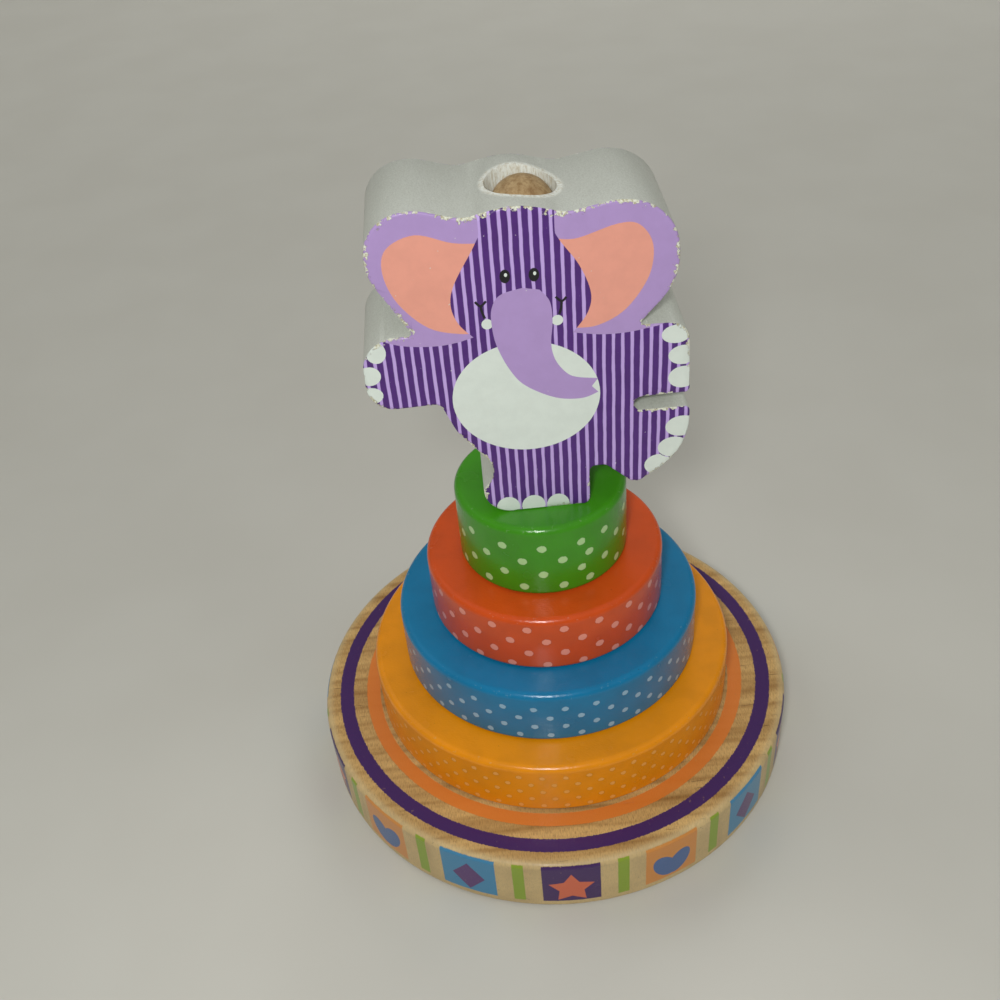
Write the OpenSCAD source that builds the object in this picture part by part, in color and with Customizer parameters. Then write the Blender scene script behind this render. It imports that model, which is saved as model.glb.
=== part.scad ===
// Wooden stacking ring toy: a round base with an upright peg, four loose rings
// and a flat elephant that drops over the top of the peg.
// The origin is the centre of the base's underside, +Z runs up the peg and the
// elephant looks along -Y.

/* [Base] */
// Diameter of the base disc
base_d = 150; // [130:1:180]
// Thickness of the base disc
base_h = 21; // [19:0.5:28]
// Radius of the rounding along both rims of the base
base_round = 2; // [1:0.5:4]

/* [Peg] */
// Diameter of the peg, which ends in a half ball
peg_d = 16; // [14:0.5:16.5]
// How far the peg goes down into the base
peg_depth = 13; // [10:0.5:14]
// How far the peg's tip stands above the elephant's neck
peg_proud = 0.5; // [0:0.5:4]

/* [Rings] */
// Outer diameter of the largest ring
ring_d = 112; // [100:1:120]
// How much smaller each next ring is
ring_step = 21; // [14:1:22]
// Thickness of the yellow, blue and orange rings
ring_h = 19.2; // [15:0.1:25]
// Thickness of the green ring
top_ring_h = 24; // [15:0.5:30]
// Diameter of the hole through each ring
ring_bore_d = 18.5; // [18:0.5:22]
// Radius of the rounding along a ring's upper rim
ring_round = 2; // [1:0.25:4]
// Radius of the rounding along a ring's lower rim
ring_foot_round = 1.5; // [0.5:0.25:4]
// Chamfer at both ends of a ring's hole
bore_chamfer = 0.8; // [0.4:0.1:1.5]

/* [Elephant] */
// Thickness of the elephant, from its printed face to its back
elephant_t = 30; // [24:1:34]
// Diameter of the hole down through the elephant
elephant_bore_d = 17; // [17:0.1:18]

/* [Screw] */
// Length of the countersunk screw that holds the peg
screw_l = 35; // [25:1:40]
// Diameter over the screw's thread
screw_d = 4; // [3.5:0.1:4.5]
// Distance from one turn of the thread to the next
screw_pitch = 1.8; // [1.4:0.1:2.4]

/* [Hidden] */
$fn = 96;

base_wood = [0.90, 0.79, 0.58];
peg_wood = [0.82, 0.62, 0.38];
steel = [0.72, 0.73, 0.75];
yellow_paint = [0.93, 0.60, 0.05];
blue_paint = [0.13, 0.42, 0.60];
orange_paint = [0.83, 0.30, 0.10];
green_paint = [0.25, 0.53, 0.10];
elephant_paint = [0.80, 0.82, 0.78];

// Height of each loose piece's underside
yellow_z = base_h;
blue_z = yellow_z + ring_h;
orange_z = blue_z + ring_h;
green_z = orange_z + ring_h;
elephant_z = green_z + top_ring_h;

// Height of the elephant's neck over its sole, where the hole comes out
neck_h = 87.5;
peg_foot_z = base_h - peg_depth;
peg_tip_z = elephant_z + neck_h + peg_proud;

// Screw: its head is sunk a little below the base's underside
head_sink = 1;
head_d = 2 * screw_d;
head_h = (head_d - screw_d) / 2;
core_d = 0.7 * screw_d;
tip_l = screw_d;
recess_depth = 0.6 * head_h;
recess_w = 0.9;
recess_l = 4.4;
screw_tip_z = head_sink + screw_l;
// Slack between the thread and the hole that it has cut
thread_slack = 0.03;
// Slack around the plain neck of the screw inside the base
neck_slack = 0.25;
cut = 1;

// Corners of the elephant's outline as [x, height over the sole, rounding radius],
// clockwise from its left ear as the viewer sees it
ELEPHANT = [
    // left ear, the dip beside it, the top of the head and the other dip
    [-37.8, 88, 10.5], [-25, 88.9, 12], [-14.6, 85.7, 9], [-2.5, 88.1, 20], [9.2, 84.8, 9],
    // right ear, down to where it meets the arm
    [20, 86.6, 12], [35, 85.8, 13.5], [35.3, 65, 16], [25.4, 54, 0.8],
    // right arm, and the slot below it
    [38, 53.5, 5], [38.8, 33.1, 1.5], [24.6, 33.1, 2.05], [24.6, 28.9, 2.05],
    // raised leg and the arch between the leg and the foot
    [39, 28.7, 1.5], [39.1, 14.8, 19], [24.9, 5.2, 3], [17, 12.6, 2.2], [12.7, 12.6, 1.6],
    // foot, and the hollow behind it
    [12.6, 0, 2], [-16.2, 0, 7.5], [-16, 8.2, 0.3], [-10.9, 14.4, 7], [-15.9, 20.6, 0.5],
    // belly, up to where it meets the left arm
    [-21.3, 28, 12], [-24.6, 37, 2],
    // left arm, up to where it meets the ear
    [-42.6, 36.8, 7], [-42.2, 57.3, 9], [-28.8, 57.2, 0.8], [-37.9, 73.8, 14]
];
// Largest turn between two neighbouring points of a rounded corner, in degrees
arc_step = 9;

function unit(v) = v / norm(v);
function xy(p) = [p[0], p[1]];

// Points of the arc that rounds corner b, which lies between corners a and c
function corner_arc(a, b, c) =
    let (
        to_a = unit(xy(a) - xy(b)),
        to_c = unit(xy(c) - xy(b)),
        half = acos(to_a * to_c) / 2,
        centre = xy(b) + unit(to_a + to_c) * b[2] / sin(half),
        first = xy(b) + to_a * b[2] / tan(half) - centre,
        last = xy(b) + to_c * b[2] / tan(half) - centre,
        start = atan2(first[1], first[0]),
        swing = atan2(last[1], last[0]) - start,
        turn = swing > 180 ? swing - 360 : swing < -180 ? swing + 360 : swing,
        steps = max(1, ceil(abs(turn) / arc_step))
    )
    [for (i = [0:steps]) centre + b[2] * [cos(start + turn * i / steps), sin(start + turn * i / steps)]];

// A closed outline with every corner rounded by its own radius
function rounded_outline(corners) =
    let (n = len(corners))
    [for (i = [0:n - 1]) each corner_arc(corners[(i + n - 1) % n], corners[i], corners[(i + 1) % n])];

// Half the section of a disc whose lower and upper rims are rounded
module rounded_section(r, h, lower, upper) {
    translate([0, lower])
        square([r, h - lower - upper]);
    square([r - lower, h / 2]);
    translate([0, h / 2])
        square([r - upper, h / 2]);
    translate([r - lower, lower])
        circle(lower);
    translate([r - upper, h - upper])
        circle(upper);
}

module base_disc() {
    color(base_wood)
        difference() {
            rotate_extrude()
                rounded_section(base_d / 2, base_h, base_round, base_round);
            // blind hole for the peg
            translate([0, 0, peg_foot_z])
                cylinder(h = peg_depth + cut, d = peg_d);
            // hole for the screw's plain neck, and the sink for its head
            translate([0, 0, -cut])
                cylinder(h = base_h, d = screw_d + 2 * neck_slack);
            translate([0, 0, -cut])
                cylinder(h = head_sink + cut, d = head_d);
            translate([0, 0, head_sink])
                cylinder(h = head_h, d1 = head_d, d2 = screw_d);
        }
}

module center_peg() {
    color(peg_wood)
        difference() {
            union() {
                translate([0, 0, peg_foot_z])
                    cylinder(h = peg_tip_z - peg_d / 2 - peg_foot_z, d = peg_d);
                translate([0, 0, peg_tip_z - peg_d / 2])
                    sphere(d = peg_d);
            }
            translate([0, 0, peg_foot_z - cut])
                cylinder(h = screw_tip_z + cut - peg_foot_z + cut, d = screw_d + 2 * thread_slack);
        }
}

// Side of the screw's thread, from its neck up to its tip, as [radius, height]
function thread_profile(from_z, to_z) =
    let (turns = floor((to_z - from_z) / screw_pitch))
    [for (i = [0:turns - 1]) each [
        [core_d / 2, from_z + i * screw_pitch],
        [screw_d / 2, from_z + (i + 0.5) * screw_pitch],
        [core_d / 2, from_z + (i + 0.8) * screw_pitch]
    ]];

module peg_screw() {
    thread_z = peg_foot_z + cut;
    color(steel)
        difference() {
            union() {
                translate([0, 0, head_sink])
                    cylinder(h = head_h, d1 = head_d, d2 = screw_d);
                translate([0, 0, head_sink])
                    cylinder(h = thread_z - head_sink, d = screw_d);
                rotate_extrude()
                    polygon(concat(
                        [[0, thread_z - cut]],
                        [[core_d / 2, thread_z - cut]],
                        thread_profile(thread_z, screw_tip_z - tip_l),
                        [[core_d / 2, screw_tip_z - tip_l], [0, screw_tip_z]]
                    ));
            }
            // cross-shaped recess for the driver
            for (turn = [0, 90])
                rotate([0, 0, turn])
                    translate([-recess_l / 2, -recess_w / 2, head_sink - cut])
                        cube([recess_l, recess_w, recess_depth + cut]);
        }
}

// One loose ring; level 0 is the largest
module ring(level, z, h, paint) {
    color(paint)
        translate([0, 0, z])
            difference() {
                rotate_extrude()
                    rounded_section((ring_d - level * ring_step) / 2, h, ring_foot_round, ring_round);
                translate([0, 0, -cut])
                    cylinder(h = h + 2 * cut, d = ring_bore_d);
                cylinder(h = bore_chamfer, d1 = ring_bore_d + 2 * bore_chamfer, d2 = ring_bore_d);
                translate([0, 0, h - bore_chamfer])
                    cylinder(h = bore_chamfer, d1 = ring_bore_d, d2 = ring_bore_d + 2 * bore_chamfer);
            }
}

module yellow_ring() {
    ring(0, yellow_z, ring_h, yellow_paint);
}

module blue_ring() {
    ring(1, blue_z, ring_h, blue_paint);
}

module orange_ring() {
    ring(2, orange_z, ring_h, orange_paint);
}

module green_ring() {
    ring(3, green_z, top_ring_h, green_paint);
}

module elephant_topper() {
    color(elephant_paint)
        translate([0, 0, elephant_z])
            difference() {
                rotate([90, 0, 0])
                    linear_extrude(elephant_t, center = true)
                        polygon(rounded_outline(ELEPHANT));
                translate([0, 0, -cut])
                    cylinder(h = neck_h + 4 * cut, d = elephant_bore_d);
            }
}

base_disc();
center_peg();
peg_screw();
yellow_ring();
blue_ring();
orange_ring();
green_ring();
elephant_topper();
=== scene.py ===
import math

import bpy
import numpy as np
from mathutils import Matrix, Vector, geometry


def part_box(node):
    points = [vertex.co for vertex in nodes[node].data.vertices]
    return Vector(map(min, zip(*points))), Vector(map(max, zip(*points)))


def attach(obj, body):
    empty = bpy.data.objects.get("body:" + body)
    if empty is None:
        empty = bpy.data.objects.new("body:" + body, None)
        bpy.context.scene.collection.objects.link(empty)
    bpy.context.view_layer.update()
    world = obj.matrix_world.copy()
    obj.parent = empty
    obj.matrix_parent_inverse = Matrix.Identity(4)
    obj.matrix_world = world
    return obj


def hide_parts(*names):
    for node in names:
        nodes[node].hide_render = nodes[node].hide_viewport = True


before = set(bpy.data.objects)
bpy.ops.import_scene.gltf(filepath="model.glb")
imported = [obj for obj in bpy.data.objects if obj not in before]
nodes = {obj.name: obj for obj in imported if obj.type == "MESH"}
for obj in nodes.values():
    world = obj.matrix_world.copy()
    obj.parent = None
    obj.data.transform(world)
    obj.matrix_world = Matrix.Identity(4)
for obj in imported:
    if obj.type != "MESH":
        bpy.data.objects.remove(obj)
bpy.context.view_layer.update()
mm = 0.001
coatRoughness = 0.12


def paintColour(red, green, blue):
    # a colour given as on a paint card, 0 to 255, as the linear colour that a socket takes
    channels = []
    for level in (red, green, blue):
        share = level / 255
        channels.append(share / 12.92 if share < 0.0405 else ((share + 0.055) / 1.055) ** 2.4)
    return (*channels, 1.0)


class Term:
    # a socket that can stand in a sum, with numbers or other terms on either side
    def __init__(self, finish, socket):
        self.finish = finish
        self.socket = socket

    def math(self, operation, first, second=0.0):
        return self.finish.add("ShaderNodeMath", {"operation": operation}, {0: first, 1: second})

    def __add__(self, other):
        return self.math("ADD", self, other)

    __radd__ = __add__

    def __sub__(self, other):
        return self.math("SUBTRACT", self, other)

    def __rsub__(self, other):
        return self.math("SUBTRACT", other, self)

    def __mul__(self, other):
        return self.math("MULTIPLY", self, other)

    __rmul__ = __mul__

    def __truediv__(self, other):
        return self.math("DIVIDE", self, other)

    def __abs__(self):
        return self.math("ABSOLUTE", self)

    def __mod__(self, other):
        return self.math("FLOORED_MODULO", self, other)

    def __lt__(self, other):
        return self.math("LESS_THAN", self, other)

    def __gt__(self, other):
        return self.math("GREATER_THAN", self, other)

    def rounded(self):
        return self.math("ROUND", self)

    def root(self):
        return self.math("SQRT", self)

    def sine(self):
        return self.math("SINE", self)

    def cosine(self):
        return self.math("COSINE", self)

    def larger(self, other):
        return self.math("MAXIMUM", self, other)


class Finish:
    # one material: a glossy shader, the place of a point in millimetres and the ways to make nodes
    def __init__(self, name):
        self.material = bpy.data.materials.new(name)
        self.material.use_nodes = True
        self.tree = self.material.node_tree
        self.tree.nodes.clear()
        self.shader = self.tree.nodes.new("ShaderNodeBsdfPrincipled")
        output = self.tree.nodes.new("ShaderNodeOutputMaterial")
        self.tree.links.new(self.shader.outputs[0], output.inputs[0])
        metres = self.add("ShaderNodeTexCoord", out="Object")
        self.place = self.add("ShaderNodeVectorMath", {"operation": "SCALE"}, {0: metres, "Scale": 1 / mm})
        self.x = self.add("ShaderNodeSeparateXYZ", {}, {0: self.place}, out=0)
        self.y = self.add("ShaderNodeSeparateXYZ", {}, {0: self.place}, out=1)
        self.z = self.add("ShaderNodeSeparateXYZ", {}, {0: self.place}, out=2)

    def add(self, kind, settings=None, sockets=None, out=0):
        # any node: its settings first, then the values or links of its sockets
        node = self.tree.nodes.new(kind)
        for key, value in (settings or {}).items():
            setattr(node, key, value)
        for key, value in (sockets or {}).items():
            if isinstance(value, Term):
                self.tree.links.new(value.socket, node.inputs[key])
            else:
                node.inputs[key].default_value = value
        return Term(self, node.outputs[out])

    def mix(self, share, first, second):
        # the first colour where share is 0, the second where it is 1
        return self.add("ShaderNodeMix", {"data_type": "RGBA"}, {0: share, 6: first, 7: second}, out=2)

    def soft(self, value, low, high):
        # 0 below low, 1 above high, and a smooth step between them
        return self.add("ShaderNodeMapRange", {"interpolation_type": "SMOOTHSTEP"},
                        {"Value": value, "From Min": low, "From Max": high})

    def noise(self, size, detail=2.0, roughness=0.5, stretch=(1, 1, 1), shift=0.0):
        # soft random pattern round 0.5; size in mm, and stretch lengthens it along an axis
        squeeze = tuple(1 / (size * s) for s in stretch)
        place = self.add("ShaderNodeVectorMath", {"operation": "MULTIPLY_ADD"},
                         {0: self.place, 1: squeeze, 2: (shift, shift * 0.7, shift * 1.3)})
        return self.add("ShaderNodeTexNoise", {}, {"Vector": place, "Scale": 1.0, "Detail": detail,
                                                   "Roughness": roughness})

    def radius(self):
        return (self.x * self.x + self.y * self.y).root()

    def angle(self):
        # round the peg in radians, 0 at the front and growing to the right
        return self.add("ShaderNodeMath", {"operation": "ARCTAN2"}, {0: self.x, 1: 0 - self.y})

    def done(self, colour, roughness, relief=None, coat=0.0, specular=0.5):
        # relief is a height in millimetres
        self.tree.links.new(colour.socket, self.shader.inputs["Base Color"])
        if isinstance(roughness, Term):
            self.tree.links.new(roughness.socket, self.shader.inputs["Roughness"])
        else:
            self.shader.inputs["Roughness"].default_value = roughness
        self.shader.inputs["Specular IOR Level"].default_value = specular
        self.shader.inputs["Coat Weight"].default_value = coat
        self.shader.inputs["Coat Roughness"].default_value = coatRoughness
        if relief is not None:
            bump = self.add("ShaderNodeBump", {}, {"Strength": 1.0, "Distance": mm, "Height": relief})
            self.tree.links.new(bump.socket, self.shader.inputs["Normal"])
        return self.material


def shade(colour, share):
    # a darker mix of a card colour
    return [level * share for level in colour]


def cover(node, material):
    # the CAD node keeps its mesh and gets the better material
    nodes[node].data.materials.clear()
    nodes[node].data.materials.append(material)


# Lengths in all the dictionaries are in mm and angles in degrees; colours are 0 to 255.
base = {
    "woodLight": (214, 178, 114),
    "woodDark": (144, 104, 52),
    "woodCheck": (72, 44, 20),     # the small open cracks along the grain
    "woodSide": (208, 188, 142),   # the sanded side is paler
    "bandPitch": 6.5,              # from one dark growth line to the next
    "printPurple": (64, 34, 92),
    "printOrange": (214, 122, 46),
    "purpleRing": (65.8, 70.2),    # inner and outer radius of the printed rings
    "orangeRing": (57.0, 61.4),
    "inkEdge": 0.12,               # how softly an ink ends
    "squarePitch": 23.4,           # angle from one printed square to the next
    "squareTurn": -2.1,            # how far the band is turned on the base
    "squareHalf": 8.5,             # half the width of a square
    "squareHeights": (3.3, 20.3),  # foot and top of the squares over the table
    "limeHalf": 1.7,
    "pictureHeight": 9.3,          # middle of the heart over the table
    "starRise": 0.3,               # the star and the diamond sit this much higher
    "diamondRise": 1.0,
    "starTip": 7.0,                # radius of the star's tips and of its inner corners
    "starWaist": 3.8,
    "diamondWide": 5.1,            # half width and half height
    "diamondTall": 6.4,
    "heartLobe": (2.3, 5.4, 3.34, 28.5),   # lobe's place beside the middle, half length, half width, lean
    "lime": (136, 160, 46),
    "squareOrange": (208, 138, 66),
    "squareBlue": (62, 132, 172),
    "star": (208, 104, 72),
    "heart": (72, 102, 152),
    "diamond": (88, 52, 110),
}


def woodColour(finish):
    # growth bands that run from left to right, fine fibres across them and a few open checks
    bend = finish.noise(45, 1.0) * 9
    across = finish.y + bend
    broad = finish.noise(6, 3.0, 0.6, (14, 1, 2))
    lines = ((across * (2 * math.pi / base["bandPitch"])).sine() + 1) / 2
    lines = lines * lines
    lines = lines * lines * lines
    hatch = finish.noise(0.22, 2.0, 0.7, (1, 8, 5), 3)
    checks = finish.noise(0.5, 1.0, 0.5, (22, 1, 3), 7)
    tone = finish.soft(broad, 0.3, 0.7) * 0.6 + lines * 0.3
    colour = finish.mix(tone, paintColour(*base["woodLight"]), paintColour(*base["woodDark"]))
    fibre = finish.soft(hatch, 0.42, 0.7)
    colour = finish.mix(fibre * 0.5, colour, paintColour(*shade(base["woodDark"], 0.74)))
    opened = finish.soft(checks, 0.72, 0.78)
    colour = finish.mix(opened * 0.75, colour, paintColour(*base["woodCheck"]))
    relief = (1 - fibre) * 0.035 + (1 - opened) * 0.08 + broad * 0.05
    return colour, relief


def starShape(finish, u, v):
    # positive inside a five-pointed star, from its folded distance to the line from tip to inner corner
    tip = base["starTip"]
    halfPoint = math.pi / 5
    reach = (u * u + v * v).root()
    turn = finish.add("ShaderNodeMath", {"operation": "ARCTAN2"}, {0: u, 1: v})
    fold = abs((turn + halfPoint) % (2 * halfPoint) - halfPoint)
    cornerX = base["starWaist"] * math.cos(halfPoint)
    cornerY = base["starWaist"] * math.sin(halfPoint)
    edge = math.hypot(cornerX - tip, cornerY)
    along = reach * fold.sine() * ((cornerX - tip) / edge)
    return along - (reach * fold.cosine() - tip) * (cornerY / edge)


def heartShape(u, v):
    # positive inside a plump heart: two leaning ovals that cross at its foot
    beside, halfLength, halfWidth, lean = base["heartLobe"]
    lean = math.radians(lean)
    side = abs(u) - beside
    along = side * (math.sin(lean) / halfLength) + v * (math.cos(lean) / halfLength)
    across = side * (math.cos(lean) / halfWidth) - v * (math.sin(lean) / halfWidth)
    return 1 - (along * along + across * across).root()


def diamondShape(u, v):
    # positive inside an upright diamond
    return 1 - abs(u) / base["diamondWide"] - abs(v) / base["diamondTall"]


def between(finish, value, low, high):
    # 1 from low to high, with the soft edge of an ink on both sides
    edge = base["inkEdge"]
    above = finish.soft(value, low - edge, low + edge)
    return above * (1 - finish.soft(value, high - edge, high + edge))


def pictures(finish, u, v, number):
    # colours inside the squares: star, heart and diamond take turns round the base
    edge = base["inkEdge"]
    kind = number % 3
    isStar = kind < 0.5
    isHeart = (kind > 0.5) * (kind < 1.5)
    isDiamond = kind > 1.5
    ground = finish.mix(isHeart, paintColour(*base["printPurple"]), paintColour(*base["squareOrange"]))
    ground = finish.mix(isDiamond, ground, paintColour(*base["squareBlue"]))
    star = finish.soft(starShape(finish, u, v - base["starRise"]), -edge, edge) * isStar
    heart = finish.soft(heartShape(u, v), -0.03, 0.03) * isHeart
    diamond = finish.soft(diamondShape(u, v - base["diamondRise"]), -0.02, 0.02) * isDiamond
    ground = finish.mix(star, ground, paintColour(*base["star"]))
    ground = finish.mix(heart, ground, paintColour(*base["heart"]))
    return finish.mix(diamond, ground, paintColour(*base["diamond"]))


def baseFinish():
    finish = Finish("baseWoodAndPrint")
    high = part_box("base_disc")[1]
    outer = high.x / mm
    topHeight = high.z / mm
    colour, relief = woodColour(finish)
    radius = finish.radius()
    ragged = (finish.noise(0.45, 2.0, 0.6, (1, 3, 1), 5) - 0.5) * 0.8

    # two printed rings on the top
    top = finish.soft(finish.z, topHeight - 0.5, topHeight - 0.1)
    inPurple = between(finish, radius + ragged, *base["purpleRing"]) * top
    inOrange = between(finish, radius + ragged * 0.6, *base["orangeRing"]) * top
    worn = finish.soft(finish.noise(1.6, 3.0, 0.7, (1, 2, 1), 9), 0.66, 0.74)
    colour = finish.mix(inPurple * (1 - worn * 0.35), colour, paintColour(*base["printPurple"]))
    colour = finish.mix(inOrange * (0.92 - worn * 0.2), colour, paintColour(*base["printOrange"]))

    # printed band on the side: squares with a picture each and lime stripes between them
    pitch = math.radians(base["squarePitch"])
    step = (finish.angle() - math.radians(base["squareTurn"])) / pitch
    number = step.rounded()
    u = (step - number) * (pitch * outer)
    v = finish.z - base["pictureHeight"]
    side = finish.soft(radius, outer - 1.8, outer - 1.5)
    tall = between(finish, finish.z + ragged * 0.5, *base["squareHeights"]) * side
    edge = base["inkEdge"]
    reach = abs(u) + ragged * 0.3
    square = (1 - finish.soft(reach, base["squareHalf"] - edge, base["squareHalf"] + edge)) * tall
    reach = abs(abs(u) - pitch * outer / 2) + ragged * 0.3
    stripe = (1 - finish.soft(reach, base["limeHalf"] - edge, base["limeHalf"] + edge)) * tall
    nearRim = finish.soft(finish.z, topHeight - 2.4, topHeight - 0.6)
    wear = finish.soft(finish.noise(0.8, 3.0, 0.7, shift=4) + nearRim * 0.06, 0.70, 0.74)
    pale = finish.soft(radius + ragged * 2.0, outer - 3.5, outer - 0.4)
    colour = finish.mix(pale * 0.55, colour, paintColour(*base["woodSide"]))
    colour = finish.mix(square * (1 - wear * 0.8), colour, pictures(finish, u, v, number))
    colour = finish.mix(stripe * (1 - wear * 0.8), colour, paintColour(*base["lime"]))

    printed = inPurple.larger(inOrange).larger(square).larger(stripe)
    relief = relief * (1 - printed * 0.6) + printed * 0.03
    roughness = 0.46 - printed * 0.16 + worn * 0.08
    return finish.done(colour, roughness, relief, coat=0.1, specular=0.4)


cover("base_disc", baseFinish())
print("base finished")


peg = {
    "light": (192, 166, 122),
    "dark": (142, 112, 70),
    "stain": (120, 84, 50),
    "darkEnd": (120, 92, 62),
    "darkEndHeights": (183.0, 190.0),    # over the table, where the round end is made darker
}


def pegFinish():
    finish = Finish("pegDowel")
    grain = finish.noise(0.7, 3.0, 0.6, (1, 1, 22), 1)
    broad = finish.noise(5, 2.0, 0.5, (1, 1, 6), 2)
    growth = ((finish.x * 1.9 + finish.noise(9, 1.0) * 6).sine() + 1) / 2
    tone = finish.soft(grain, 0.35, 0.7) * 0.7 + growth * 0.25
    colour = finish.mix(tone, paintColour(*peg["light"]), paintColour(*peg["dark"]))
    colour = finish.mix(finish.soft(broad, 0.55, 0.75) * 0.3, colour, paintColour(*peg["stain"]))
    # the round end at the top is made darker
    rubbed = finish.soft(finish.z, *peg["darkEndHeights"])
    colour = finish.mix(rubbed * 0.25, colour, paintColour(*peg["darkEnd"]))
    return finish.done(colour, 0.55 - rubbed * 0.1, grain * 0.06)


screw = {"steel": (196, 196, 190), "tarnish": (140, 138, 128), "roughness": 0.25}


def screwFinish():
    finish = Finish("zincSteel")
    tarnish = finish.noise(1.5, 3.0, 0.6)
    dull = finish.soft(tarnish, 0.35, 0.75)
    colour = finish.mix(dull, paintColour(*screw["steel"]), paintColour(*screw["tarnish"]))
    finish.shader.inputs["Metallic"].default_value = 1.0
    roughness = finish.soft(tarnish, 0.2, 0.9) * 0.3 + screw["roughness"]
    return finish.done(colour, roughness, tarnish * 0.02)


cover("center_peg", pegFinish())
cover("peg_screw", screwFinish())
print("peg finished")


rings = {
    # around: how many dots would fill a row all round; first and pitch: heights of the rows of dots;
    # seam: where the rows meet, to the right from the front; show: how well the dots cover the paint
    "yellow_ring": {
        "paint": (236, 146, 8), "dots": (244, 176, 92), "dotRadius": 0.72, "show": 0.75,
        "around": 51.72, "seam": 149, "rows": 5, "first": 2.4, "pitch": 3.2,
    },
    "blue_ring": {
        "paint": (12, 118, 164), "dots": (150, 190, 214), "dotRadius": 0.9, "show": 0.9,
        "around": 31.75, "seam": 172, "rows": 4, "first": 2.6, "pitch": 3.7,
    },
    "orange_ring": {
        "paint": (208, 78, 22), "dots": (236, 152, 132), "dotRadius": 1.15, "show": 0.9,
        "around": 21.25, "seam": 200.4, "rows": 4, "first": 1.9, "pitch": 4.6,
    },
    "green_ring": {
        "paint": (62, 144, 22), "dots": (176, 214, 150), "dotRadius": 1.2, "show": 0.95,
        "around": 13.72, "seam": 24, "rows": 4, "first": 3.2, "pitch": 4.7,
    },
}
ringBody = {
    "boreLight": (206, 172, 122),    # thinly painted wood inside the hole
    "boreDark": (150, 110, 66),
    "boreRadii": (9.9, 10.2),        # where the paint begins, at the chamfer of the hole
    "dotShift": 0.12,                # part of a dot pitch from the seam to the first dot
    "dotEdge": 0.09,                 # how softly a dot ends
    "dotStretch": 0.82,              # below 1 a dot is wider than high
}


def dotRows(finish, look, outer, foot):
    # rows of printed dots on the side, every other row moved by half a dot, and the dark rim round each dot
    seam = math.radians(look["seam"])
    turn = (finish.angle() - seam) % (2 * math.pi)
    rise = (finish.z - foot - look["first"]) / look["pitch"]
    row = rise.rounded()
    spot = turn * (look["around"] / (2 * math.pi)) + (row % 2) * 0.5 - ringBody["dotShift"]
    u = (spot - spot.rounded()) * (2 * math.pi * outer / look["around"])
    v = (rise - row) * look["pitch"]
    wobble = (finish.noise(0.8, 2.0, shift=2) - 0.5) * 0.5
    reach = (u * u * ringBody["dotStretch"] + v * v).root() + wobble
    radius = look["dotRadius"]
    edge = ringBody["dotEdge"]
    inRows = (row > -0.5) * (row < look["rows"] - 0.5)
    side = finish.soft(finish.radius(), outer - 0.5, outer - 0.35)
    dots = (1 - finish.soft(reach, radius - edge, radius + edge)) * inRows * side
    rims = (1 - finish.soft(reach, radius + edge, radius + 3 * edge)) * inRows * side
    return dots, rims


def ringFinish(name, look):
    finish = Finish(name + "Paint")
    low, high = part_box(name)
    outer = high.x / mm
    topHeight = high.z / mm
    paint = look["paint"]
    cloudy = finish.noise(9, 2.0, 0.5, shift=outer)
    deep = paintColour(*shade(paint, 0.86))
    colour = finish.mix(finish.soft(cloudy, 0.35, 0.7) * 0.35, paintColour(*paint), deep)
    dots, rims = dotRows(finish, look, outer, low.z / mm)
    colour = finish.mix(rims * 0.3, colour, paintColour(*shade(paint, 0.7)))
    colour = finish.mix(dots * look["show"], colour, paintColour(*look["dots"]))

    # play wear and painted highlight: small dents and lighter rubbed spots that gather on the upper rim,
    # where they also paint a highlight along it, and dust specks
    nearTop = finish.soft(finish.z, topHeight - 2.4, topHeight - 0.8)
    rim = finish.soft(finish.radius(), outer - 2.4, outer - 1.2) * nearTop
    rubsAndRimSheen = finish.soft(finish.noise(1.1, 3.0, 0.6, shift=outer + 3) + rim * 0.1, 0.74, 0.78)
    # the lighter colour of these spots: partly worn paint, partly a painted highlight on the rim
    rubbed = [min(255, level * 0.6 + 70) for level in paint]
    colour = finish.mix(rubsAndRimSheen * 0.45, colour, paintColour(*rubbed))
    specks = finish.soft(finish.noise(0.55, 1.0, 0.4, shift=outer + 6), 0.79, 0.82)
    colour = finish.mix(specks * 0.6, colour, paintColour(*shade(paint, 0.45)))

    # bare wood shows through inside the hole
    bare = 1 - finish.soft(finish.radius() + finish.noise(1.5, 2.0) * 0.8, *ringBody["boreRadii"])
    grain = finish.soft(finish.noise(0.6, 3.0, 0.6, (1, 1, 14), outer + 4), 0.35, 0.65)
    drilled = finish.mix(grain, paintColour(*ringBody["boreLight"]), paintColour(*ringBody["boreDark"]))
    colour = finish.mix(bare * 0.8, colour, drilled)

    peel = finish.noise(1.6, 3.0, 0.55, shift=outer + 1)
    pores = finish.noise(0.42, 2.0, 0.6, (2, 1, 1), outer + 2)
    relief = peel * 0.06 + pores * 0.06 + dots * 0.015 - rubsAndRimSheen * 0.03
    roughness = 0.21 + finish.soft(cloudy, 0.4, 0.8) * 0.08 + rubsAndRimSheen * 0.2 + bare * 0.3
    return finish.done(colour, roughness, relief, coat=0.15, specular=0.36)


for ringName, ringLook in rings.items():
    cover(ringName, ringFinish(ringName, ringLook))
print("rings finished")


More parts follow.
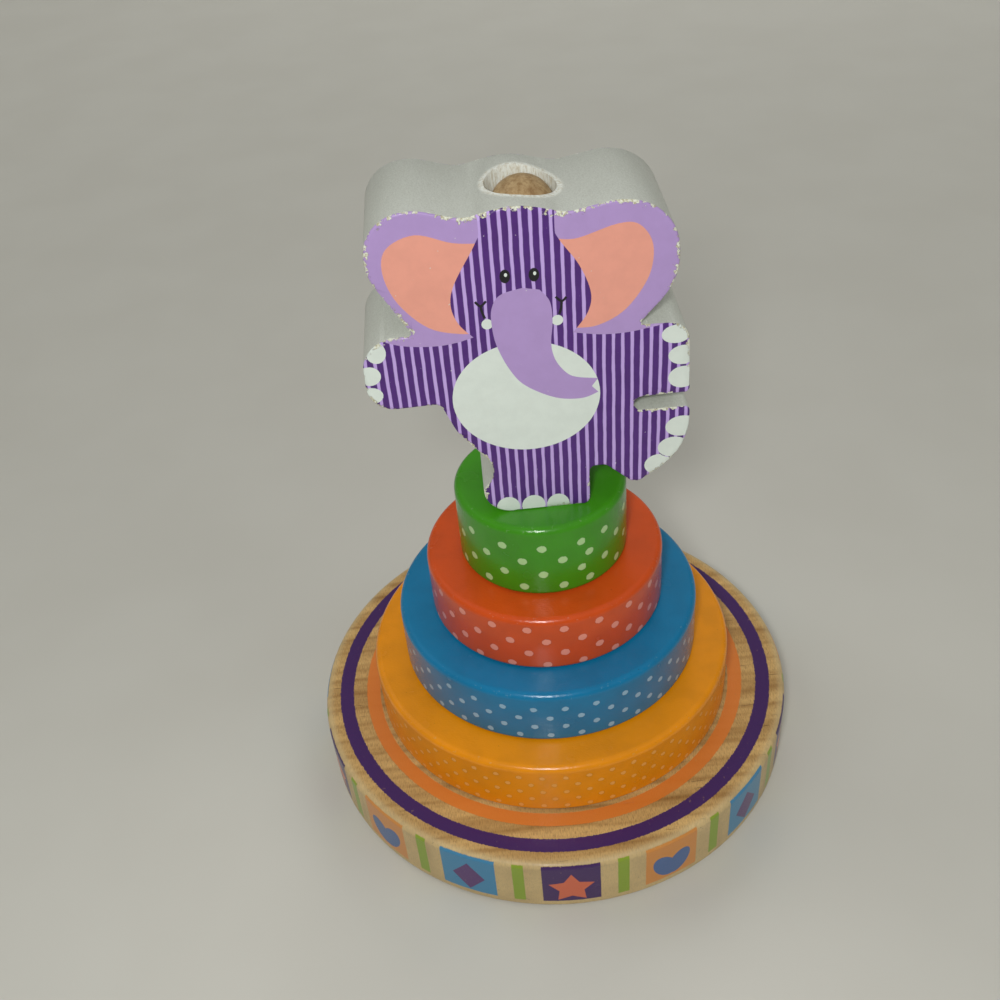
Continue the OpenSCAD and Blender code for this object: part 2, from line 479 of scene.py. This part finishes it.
elephant = {
    "edgeRounding": 0.45,             # front and back edges of the sawn block
    "rimSteps": [0.06, 0.2, 0.45, 0.9, 1.6, 2.6],   # distances from the outline that hold a row of points
    "wearReach": 4.0,                 # width of the band along the edge where the print can be chipped
    "chipDepth": 4.2,                 # how far the small chips and the larger worn patches vary
    "patchDepth": 3.0,
    "chipStart": 0.12,                # a larger value makes more chips
    "earHeights": (150.0, 162.0),     # over the table, where the chips grow deeper towards the ears
    "earChipDepth": 3.0,
    "earChipStart": 0.25,
    "boreRadius": 8.5,
    "flareRadii": (7.9, 10.2),        # worn, wider mouth at the top of the hole
    "flareHeight": 10.0,
    "flareMiddle": 88.5,              # over the sole
    "stripePitch": 2.34,
    "stripeStart": 0.42,              # x of the light stripe nearest the middle, at stripeLevel
    "stripeLevel": 110.0,             # over the table
    "stripeHalf": 0.41,
    "stripeSlant": 0.0043,            # to the right for each mm up
    "stripeWave": 0.22,
    "purple": (78, 34, 120),
    "lightStripe": (200, 172, 236),
    "lavender": (178, 150, 206),
    "salmon": (236, 162, 142),
    "white": (222, 232, 224),
    "black": (16, 14, 22),
    "chipEdge": (92, 72, 84),         # dirt along the broken edge of the print
    "primer": (226, 230, 214),        # what shows in a chip, and its dirty patches
    "dirtyPrimer": (178, 172, 140),
    "dust": (222, 222, 214),
    "sidePaint": (196, 200, 191),
    "sideCloud": (192, 196, 186),
    "sideFibre": (150, 152, 142),
    "sideGrit": (168, 170, 160),
    "sideChips": (232, 234, 222),
    "sideScuffs": (150, 140, 118),
    "chalk": (226, 230, 222),         # thin paint on the rough wood in the hole
    "bareChalk": (196, 190, 170),
    "chalkRadii": (9.4, 10.4),        # from the peg's middle, where the chalky paint ends
    "chalkHeights": (180.0, 186.0),   # over the table, where it is thickest
}

# Art on the face: x from the middle and height over the sole. Curves go smoothly through their points.
face = {
    "headRight": [(6.8, 95), (6.2, 82.3), (7.0, 78.8), (11.5, 71.8), (14.1, 64.5), (13.3, 59.2), (9.6, 54.0)],
    "headLeft": [(-11.9, 95), (-11.1, 83.3), (-12.3, 79.3), (-17.8, 70.1), (-19.2, 64.5), (-17.8, 59.4),
                 (-14.6, 55.4)],
    "earRight": [(6.8, 78.8), (11.4, 78.5), (20.6, 81.0), (25.6, 80.3), (28.8, 75.0), (27.9, 67.0),
                 (22.5, 59.0), (15.7, 55.3), (9.6, 55.2)],
    "earLeft": [(-11.0, 79.6), (-17.3, 80.4), (-25.5, 83.2), (-32.4, 80.5), (-34.0, 74.5), (-31.5, 66.5),
                (-25.0, 59.2), (-17.0, 56.6), (-13.0, 57.0)],
    "earRightFoot": [(11.3, 53.6), (16.8, 52.6), (22.8, 52.5), (28.5, 53.2), (40, 55.0)],
    "earLeftFoot": [(-18.1, 54.5), (-23.0, 54.0), (-29.2, 54.5), (-34.3, 55.8), (-42, 59.5)],
    "earCorners": ((60, 60), (60, 95)),    # beyond the block, where an ear's print may end
    "trunk": [(-2.0, 67.3), (-7.4, 66.0), (-9.7, 62.4), (-9.9, 57.2), (-9.1, 52.1), (-6.6, 45.5),
              (-2.9, 40.2), (4.5, 35.7), (11.1, 34.7), (15.4, 36.1)],
    "trunkNotch": (13.8, 38.0),
    "trunkInside": [(15.4, 40.2), (10.0, 41.2), (7.3, 43.0), (4.9, 46.9), (4.1, 51.6), (4.7, 57.5),
                    (4.3, 63.0), (2.0, 66.4)],
    "toenails": [
        # middle x, middle height, half width, half height
        (-38.6, 53.8, 2.6, 3.1), (-41.0, 47.4, 2.9, 2.8), (-41.4, 41.7, 3.1, 2.5),
        (34.9, 50.6, 3.8, 2.7), (36.9, 44.5, 4.0, 2.9), (36.9, 38.0, 3.9, 3.3),
        (37.0, 22.9, 4.4, 3.3), (34.9, 16.4, 4.2, 3.3), (31.1, 11.1, 3.9, 3.4),
        (-9.8, 1.6, 3.3, 3.6), (-2.9, 1.4, 3.3, 3.6), (3.8, 0.9, 3.2, 3.7),
    ],
    "nailLine": 0.1,                       # half the striped line that parts a nail from the next
    "belly": (-2.8, 36.6, 18.7, 16.2, -7.5),    # middle, half width, half height and tilt
    "eyes": [(-5.9, 70.7), (0.9, 70.4)],
    "eyeHalves": (1.25, 1.75),             # half width and half height
    "gleamHalves": (0.38, 0.5),
    "gleamShift": (0.2, 0.35),
    "cheeks": [(-11.0, 58.6), (5.9, 57.8)],
    "cheekRadius": 1.4,
    "smile": [
        # the small ticks and the stems under them
        [(-13.4, 64.9), (-12.2, 63.6), (-10.8, 64.8)],
        [(5.7, 64.1), (7.1, 62.8), (8.3, 63.8)],
        [(-12.2, 63.6), (-11.9, 61.8), (-11.4, 60.2)],
        [(7.1, 62.8), (6.9, 61.0), (6.4, 59.4)],
    ],
    "smileWidth": 0.62,
}
backParts = ("nail", "head", "ear")    # what the back of the block shows of the picture


def smooth(points, steps=6):
    # more points on a smooth curve through the given ones
    knots = np.array([points[0], *points, points[-1]], float)
    curve = []
    for before, start, end, after in zip(knots, knots[1:], knots[2:], knots[3:]):
        square = 2 * before - 5 * start + 4 * end - after
        cube = 3 * start - before - 3 * end + after
        for t in np.arange(steps) / steps:
            curve.append(0.5 * (2 * start + (end - before) * t + square * t ** 2 + cube * t ** 3))
    curve.append(knots[-1])
    return curve


def oval(x, height, halfWidth, halfHeight, tilt=0.0, steps=28):
    # points round an oval, and tilt turns it anticlockwise
    turns = np.arange(steps) * 2 * math.pi / steps
    u = halfWidth * np.cos(turns)
    v = halfHeight * np.sin(turns)
    lean = math.radians(tilt)
    return list(np.stack([x + u * math.cos(lean) - v * math.sin(lean),
                          height + u * math.sin(lean) + v * math.cos(lean)], -1))


def stroke(points, width):
    # a brush stroke of even width along a curve
    line = np.array(smooth(points, steps=4))
    along = np.gradient(line, axis=0)
    along /= np.linalg.norm(along, axis=1)[:, None]
    offset = np.stack([-along[:, 1], along[:, 0]], -1) * width / 2
    return list(line + offset) + list((line - offset)[::-1])


def printAreas():
    # part of the picture, its ink and its outline; the first one that covers a point shows
    areas = []
    gleamRight, gleamUp = face["gleamShift"]
    for x, height in face["eyes"]:
        areas.append(("eye", "white", oval(x + gleamRight, height + gleamUp, *face["gleamHalves"], steps=12)))
    for x, height in face["eyes"]:
        areas.append(("eye", "black", oval(x, height, *face["eyeHalves"])))
    tip = [np.array(face["trunkNotch"])]
    areas.append(("trunk", "lavender", smooth(face["trunk"]) + tip + smooth(face["trunkInside"])))
    for line in face["smile"]:
        areas.append(("smile", "black", stroke(line, face["smileWidth"])))
    for x, height in face["cheeks"]:
        areas.append(("cheek", "white", oval(x, height, face["cheekRadius"], face["cheekRadius"], steps=18)))
    areas.append(("belly", "white", oval(*face["belly"], steps=64)))
    gap = face["nailLine"]
    for x, height, halfWidth, halfHeight in face["toenails"]:
        areas.append(("nail", "white", oval(x, height, halfWidth - gap, halfHeight - gap, steps=22)))
        areas.append(("nail", "stripes", oval(x, height, halfWidth + gap, halfHeight + gap, steps=22)))
    areas.append(("head", "stripes", smooth(face["headLeft"]) + smooth(face["headRight"])[::-1]))
    areas.append(("earInside", "salmon", smooth(face["earLeft"])))
    areas.append(("earInside", "salmon", smooth(face["earRight"])))
    for side, head, foot in ((-1, "headLeft", "earLeftFoot"), (1, "headRight", "earRightFoot")):
        corners = [np.array((side * away, height)) for away, height in face["earCorners"]]
        areas.append(("ear", "lavender", smooth(face[head]) + smooth(face[foot]) + corners))
    return areas


def blockOutline():
    # the block's outline from its CAD node: x and height over the sole in mm, in order round the shape
    mesh = nodes["elephant_topper"].data
    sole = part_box("elephant_topper")[0].z
    following = {}
    for polygon in mesh.polygons:
        if polygon.normal.y < -0.99:
            ring = []
            for index in polygon.vertices:
                place = mesh.vertices[index].co
                ring.append((round(place.x / mm, 3), round((place.z - sole) / mm, 3)))
            for here, there in zip(ring, ring[1:] + ring[:1]):
                if following.get(there) is not None and here in following[there]:
                    following[there].remove(here)
                else:
                    following.setdefault(here, []).append(there)
    start = next(point for point in following if following[point])
    outline = [start]
    while following[outline[-1]][0] != start:
        outline.append(following[outline[-1]][0])
    return np.array(outline)


def distanceTo(outline, points):
    # how far each point is from the closed outline
    start = outline
    span = np.roll(outline, -1, axis=0) - start
    offset = points[:, None, :] - start[None]
    share = np.clip((offset * span).sum(-1) / (span * span).sum(-1), 0, 1)
    return np.linalg.norm(offset - share[..., None] * span, axis=-1).min(1)


def insetOf(outline, distance):
    # the outline moved inwards; points that would cross a tight corner are dropped
    before = outline - np.roll(outline, 1, axis=0)
    after = np.roll(outline, -1, axis=0) - outline
    normals = []
    for edge in (before, after):
        edge = edge / np.linalg.norm(edge, axis=1)[:, None]
        normals.append(np.stack([-edge[:, 1], edge[:, 0]], -1))
    inward = normals[0] + normals[1]
    inward /= np.linalg.norm(inward, axis=1)[:, None]
    moved = outline + inward * distance
    return moved[distanceTo(outline, moved) > distance * 0.985]


def areaOf(shape):
    # positive when the points run anticlockwise
    shape = np.array(shape)
    x, y = shape[:, 0], shape[:, 1]
    return (x * np.roll(y, -1) - y * np.roll(x, -1)).sum() / 2


def flatPattern():
    # the face cut into small triangles along the outline and every print edge
    outline = blockOutline()
    outline = outline if areaOf(outline) > 0 else outline[::-1]
    points = []
    faces = []

    def addRing(shape):
        first = len(points)
        points.extend(Vector((float(x), float(y))) for x, y in shape)
        faces.append(list(range(first, len(points))))

    addRing(outline)
    parts = []
    for part, ink, shape in printAreas():
        addRing(shape if areaOf(shape) > 0 else shape[::-1])
        parts.append((part, ink))
    for distance in elephant["rimSteps"]:
        points.extend(Vector((float(x), float(y))) for x, y in insetOf(outline, distance))
    cut = geometry.delaunay_2d_cdt(points, [], faces, 0, 1e-5)
    flat = np.array([tuple(p) for p in cut[0]])
    triangles = []
    areas = []
    for triangle, inside in zip(cut[2], cut[5]):
        if 0 in inside:
            triangles.append(list(triangle))
            areas.append([parts[k - 1] for k in sorted(inside) if k > 0])
    return outline, flat, triangles, areas


prints = ["side", "stripes", "lavender", "salmon", "white", "black"]


def edgeDrop(depth):
    # how far the face falls back near its outline, as a quarter round
    rounding = elephant["edgeRounding"]
    inside = rounding - np.minimum(depth, rounding)
    return rounding - np.sqrt(np.maximum(0, rounding ** 2 - inside ** 2))


def blockPoints(outline, flat, used):
    # the points of the front, then those of the back, and how far each lies from the outline
    low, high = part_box("elephant_topper")
    half = high.y / mm
    depth = distanceTo(outline, flat)
    drop = edgeDrop(depth)
    points = []
    rim = []
    for side in (-1, 1):
        for index in used:
            x, height = flat[index]
            points.append((x * mm, side * (half - drop[index]) * mm, low.z + height * mm))
            rim.append(min(depth[index], elephant["wearReach"]))
    return points, rim


def blockFaces(triangles, areas, used):
    # the printed front, the back and, along the edges that only one triangle has, the sawn sides
    place = {index: k for k, index in enumerate(used)}
    behind = len(used)
    faces = []
    inks = []
    borders = {}
    for triangle, parts in zip(triangles, areas):
        a, b, c = (place[index] for index in triangle)
        onFront = [ink for part, ink in parts] + ["stripes"]
        onBack = [ink for part, ink in parts if part in backParts] + ["stripes"]
        faces.append((a, b, c))
        inks.append(onFront[0])
        faces.append((c + behind, b + behind, a + behind))
        inks.append(onBack[0])
        for start, end in ((a, b), (b, c), (c, a)):
            if (end, start) in borders:
                del borders[(end, start)]
            else:
                borders[(start, end)] = True
    for start, end in borders:
        faces.append((end, start, start + behind, end + behind))
        inks.append("side")
    return faces, inks


def elephantMesh():
    outline, flat, triangles, areas = flatPattern()
    used = sorted({index for triangle in triangles for index in triangle})
    points, rim = blockPoints(outline, flat, used)
    faces, inks = blockFaces(triangles, areas, used)
    mesh = bpy.data.meshes.new("elephantBlock")
    mesh.from_pydata(points, [], faces)
    for _ in prints:
        mesh.materials.append(None)
    mesh.polygons.foreach_set("material_index", [prints.index(ink) for ink in inks])
    wear = mesh.attributes.new("rimDistance", "FLOAT", "POINT")
    wear.data.foreach_set("value", np.array(rim, np.float32))
    mesh.update()
    return mesh


def printPaint(name, colourOf):
    # one ink of the block: chipped along the edge, with pale dust specks and a faint roller texture
    finish = Finish(name)
    rim = finish.add("ShaderNodeAttribute", {"attribute_name": "rimDistance"}, out=2)
    colour = colourOf(finish)
    chips = finish.noise(1.7, 3.0, 0.62, shift=1)
    patches = finish.noise(9, 1.0, 0.5, shift=5)
    ears = finish.soft(finish.z, *elephant["earHeights"])
    depth = ears * elephant["earChipDepth"] + elephant["chipDepth"]
    reach = (chips - 0.5) * depth + (patches - 0.56) * elephant["patchDepth"]
    reach = reach + ears * elephant["earChipStart"] + elephant["chipStart"]
    chipped = finish.soft(reach - rim, 0.0, 0.14)
    edge = finish.soft(reach - rim, -0.18, 0.0) - chipped
    colour = finish.mix(edge.larger(0.0) * 0.4, colour, paintColour(*elephant["chipEdge"]))
    dirt = finish.soft(finish.noise(0.6, 2.0, 0.6, shift=7), 0.4, 0.65)
    under = finish.mix(dirt, paintColour(*elephant["primer"]), paintColour(*elephant["dirtyPrimer"]))
    specks = finish.soft(finish.noise(0.8, 1.0, 0.4, shift=3), 0.8, 0.83)
    colour = finish.mix(specks * 0.7, colour, paintColour(*elephant["dust"]))
    colour = finish.mix(chipped, colour, under)
    relief = finish.noise(0.5, 2.0, 0.6, shift=9) * 0.02 - chipped * 0.08
    roughness = 0.42 + chipped * 0.3
    return finish.done(colour, roughness, relief, coat=0.08)


def stripedInk(finish):
    # light stripes on the dark ink, each with a wavy edge and a varying width
    lean = (finish.z - elephant["stripeLevel"]) * elephant["stripeSlant"]
    wave = (finish.noise(7, 1.0, shift=2) - 0.5) * elephant["stripeWave"]
    step = (finish.x - lean - elephant["stripeStart"] + wave) / elephant["stripePitch"]
    away = abs(step - step.rounded()) * elephant["stripePitch"]
    width = elephant["stripeHalf"] + (finish.noise(1.2, 2.0, 0.6, (1, 1, 4), 4) - 0.5) * 0.3
    light = 1 - finish.soft(away - width, -0.1, 0.1)
    cloudy = finish.noise(3, 3.0, 0.6, shift=8)
    deep = paintColour(*shade(elephant["purple"], 0.84))
    dark = finish.mix(finish.soft(cloudy, 0.35, 0.7) * 0.4, paintColour(*elephant["purple"]), deep)
    return finish.mix(light * 0.92, dark, paintColour(*elephant["lightStripe"]))


def plainInk(name):
    # an even, slightly cloudy ink
    def ink(finish):
        cloudy = finish.noise(4, 3.0, 0.6, shift=6)
        deep = paintColour(*shade(elephant[name], 0.92))
        return finish.mix(finish.soft(cloudy, 0.3, 0.75) * 0.3, paintColour(*elephant[name]), deep)
    return ink


def sidePaint():
    # whitish paint over the sawn sides, thin and chalky in the hole
    finish = Finish("elephantSidePaint")
    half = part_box("elephant_topper")[1].y / mm

    def over(share, colour, name):
        return finish.mix(share, colour, paintColour(*elephant[name]))

    cloudy = finish.noise(7, 3.0, 0.6, shift=1)
    fibre = finish.noise(0.4, 2.0, 0.6, (1, 9, 1), 2)
    grit = finish.noise(0.32, 2.0, 0.7, (1, 2, 1), 9)
    colour = over(finish.soft(cloudy, 0.35, 0.7) * 0.4, paintColour(*elephant["sidePaint"]), "sideCloud")
    colour = over(finish.soft(fibre, 0.5, 0.8) * 0.14, colour, "sideFibre")
    colour = over(finish.soft(grit, 0.35, 0.7) * 0.5, colour, "sideGrit")
    nearEdge = finish.soft(abs(finish.y), half - 1.4, half - 0.1)
    chips = finish.soft(finish.noise(1.3, 3.0, 0.65, shift=3) + nearEdge * 0.16, 0.7, 0.74)
    colour = over(chips * 0.8, colour, "sideChips")
    scuffs = finish.soft(finish.noise(0.9, 2.0, 0.5, (6, 1, 1), 4), 0.75, 0.8)
    colour = over(scuffs * 0.5, colour, "sideScuffs")

    inBore = 1 - finish.soft(finish.radius(), *elephant["chalkRadii"])
    chalk = finish.noise(0.7, 3.0, 0.7, (1, 1, 4), 6)
    chalky = over(finish.soft(chalk, 0.4, 0.7), paintColour(*elephant["chalk"]), "bareChalk")
    nearMouth = finish.soft(finish.z, *elephant["chalkHeights"]).larger(0.55)
    colour = finish.mix(inBore * nearMouth, colour, chalky)

    pits = finish.noise(0.45, 2.0, 0.6, (1, 2, 1), 8)
    relief = finish.noise(1.1, 3.0, 0.6, shift=7) * 0.1 + pits * 0.05 + chalk * inBore * 0.12 + chips * 0.03
    return finish.done(colour, 0.34 + inBore * 0.35 + chips * 0.15, relief, coat=0.12)


def boreCutters():
    # a drill through the whole block and a cone for the worn, flared mouth at the top of the hole
    low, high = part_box("elephant_topper")
    inner, outer = elephant["flareRadii"]
    bpy.ops.object.select_all(action="DESELECT")
    bpy.ops.mesh.primitive_cylinder_add(vertices=96, radius=elephant["boreRadius"] * mm,
                                        depth=1.2 * (high.z - low.z), location=(0, 0, (low.z + high.z) / 2))
    drill = bpy.context.object
    bpy.ops.mesh.primitive_cone_add(vertices=96, radius1=inner * mm, radius2=outer * mm,
                                    depth=elephant["flareHeight"] * mm,
                                    location=(0, 0, low.z + elephant["flareMiddle"] * mm))
    flare = bpy.context.object
    return [drill, flare]


def buildElephant():
    block = bpy.data.objects.new("elephant_block", elephantMesh())
    bpy.context.scene.collection.objects.link(block)
    block.data.materials[prints.index("side")] = sidePaint()
    block.data.materials[prints.index("stripes")] = printPaint("stripedPrint", stripedInk)
    for name in ("lavender", "salmon", "white", "black"):
        block.data.materials[prints.index(name)] = printPaint(name + "Print", plainInk(name))
    for cutter in boreCutters():
        bpy.ops.object.select_all(action="DESELECT")
        bpy.context.view_layer.objects.active = block
        block.select_set(True)
        bore = block.modifiers.new("bore", "BOOLEAN")
        bore.operation = "DIFFERENCE"
        bore.solver = "EXACT"
        bore.object = cutter
        bpy.ops.object.modifier_apply(modifier=bore.name)
        bpy.data.objects.remove(cutter)
    block.select_set(True)
    bpy.context.view_layer.objects.active = block
    bpy.ops.object.shade_smooth_by_angle(angle=math.radians(35))
    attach(block, "elephant")
    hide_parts("elephant_topper")
    return block


buildElephant()
print("elephant finished")


# Lengths from here on are in metres.
studio = {
    "floorColour": (200, 199, 190),
    "floorCloud": (190, 188, 178),
    "floorRadius": 1.7,
    "bend": 0.6,
    "bendSteps": 12,
    "wall": 1.2,
    "worldColour": (1.0, 0.99, 0.97, 1.0),    # of light, 0 to 1
    "worldStrength": 0.29,
    "lights": [
        # name, place, aim, size and power in watts
        ("key", (-0.060, -0.33, 0.38), (0, 0, 0.09), 0.06, 1.0),
        ("fill", (1.40, -0.70, 1.45), (0, 0, 0.15), 1.5, 5.0),
        ("left", (-1.40, 0.80, 1.45), (0, 0, 0.15), 1.5, 7.5),
        ("back", (0.40, 1.45, 0.85), (0, 0, 0.15), 1.1, 7.0),
    ],
}


def buildFloor():
    # a round floor that curves up into a wall, so that no edge shows behind the toy
    bpy.ops.object.select_all(action="DESELECT")
    bpy.ops.mesh.primitive_circle_add(vertices=128, radius=studio["floorRadius"], fill_type="TRIFAN")
    floor = bpy.context.object
    floor.name = "floor"
    bpy.ops.object.mode_set(mode="EDIT")
    bpy.ops.mesh.select_all(action="SELECT")
    bpy.ops.mesh.region_to_loop()
    steps = studio["bendSteps"]
    radius = studio["floorRadius"]
    for step in range(steps):
        start, end = (math.radians(90 * k / steps) for k in (step, step + 1))
        wider = radius + studio["bend"] * (math.sin(end) - math.sin(start))
        rise = studio["bend"] * (math.cos(start) - math.cos(end))
        bpy.ops.mesh.extrude_edges_move(TRANSFORM_OT_translate={"value": (0, 0, rise)})
        bpy.ops.transform.resize(value=(wider / radius, wider / radius, 1), center_override=(0, 0, 0))
        radius = wider
    bpy.ops.mesh.extrude_edges_move(TRANSFORM_OT_translate={"value": (0, 0, studio["wall"])})
    bpy.ops.object.mode_set(mode="OBJECT")
    bpy.ops.object.shade_smooth()
    finish = Finish("paleFloor")
    cloudy = finish.noise(60, 2.0, 0.5)
    share = finish.soft(cloudy, 0.3, 0.7) * 0.25
    colour = finish.mix(share, paintColour(*studio["floorColour"]), paintColour(*studio["floorCloud"]))
    floor.data.materials.append(finish.done(colour, 0.8, specular=0.2))


def buildLights():
    world = bpy.data.worlds.new("studio")
    world.use_nodes = True
    sky = world.node_tree.nodes["Background"]
    sky.inputs["Color"].default_value = studio["worldColour"]
    sky.inputs["Strength"].default_value = studio["worldStrength"]
    bpy.context.scene.world = world
    for name, place, aim, size, power in studio["lights"]:
        lamp = bpy.data.lights.new(name, "AREA")
        lamp.shape = "DISK"
        lamp.size = size
        lamp.energy = power
        holder = bpy.data.objects.new(name, lamp)
        holder.location = place
        holder.rotation_euler = (Vector(aim) - Vector(place)).to_track_quat("-Z", "Y").to_euler()
        holder.visible_camera = False
        holder.visible_glossy = name == "key"    # only one highlight on the paint
        bpy.context.scene.collection.objects.link(holder)


camera = {
    "place": (-0.01489, -0.25567, 0.30202),
    "heading": 0.375,      # degrees right of +Y
    "down": 41.515,        # degrees below the horizon
    "roll": 5.696,         # degrees, clockwise
    "lens": 41.11,         # mm, and the width of the film behind it
    "film": 36.0,
    "shift": 0.05,
    "nearest": 0.01,
}


def buildCamera():
    heading = math.radians(camera["heading"])
    down = math.radians(camera["down"])
    level = math.cos(down)
    forward = Vector((math.sin(heading) * level, math.cos(heading) * level, -math.sin(down)))
    lens = bpy.data.cameras.new("camera")
    lens.lens = camera["lens"]
    lens.sensor_width = camera["film"]
    lens.shift_y = camera["shift"]
    lens.clip_start = camera["nearest"]
    holder = bpy.data.objects.new("camera", lens)
    aim = forward.to_track_quat("-Z", "Y").to_matrix().to_4x4()
    roll = Matrix.Rotation(-math.radians(camera["roll"]), 4, "Z")
    holder.matrix_world = Matrix.Translation(camera["place"]) @ aim @ roll
    bpy.context.scene.collection.objects.link(holder)
    bpy.context.scene.camera = holder


buildFloor()
buildLights()
buildCamera()
bpy.context.scene.view_settings.view_transform = "Standard"
print("studio finished")
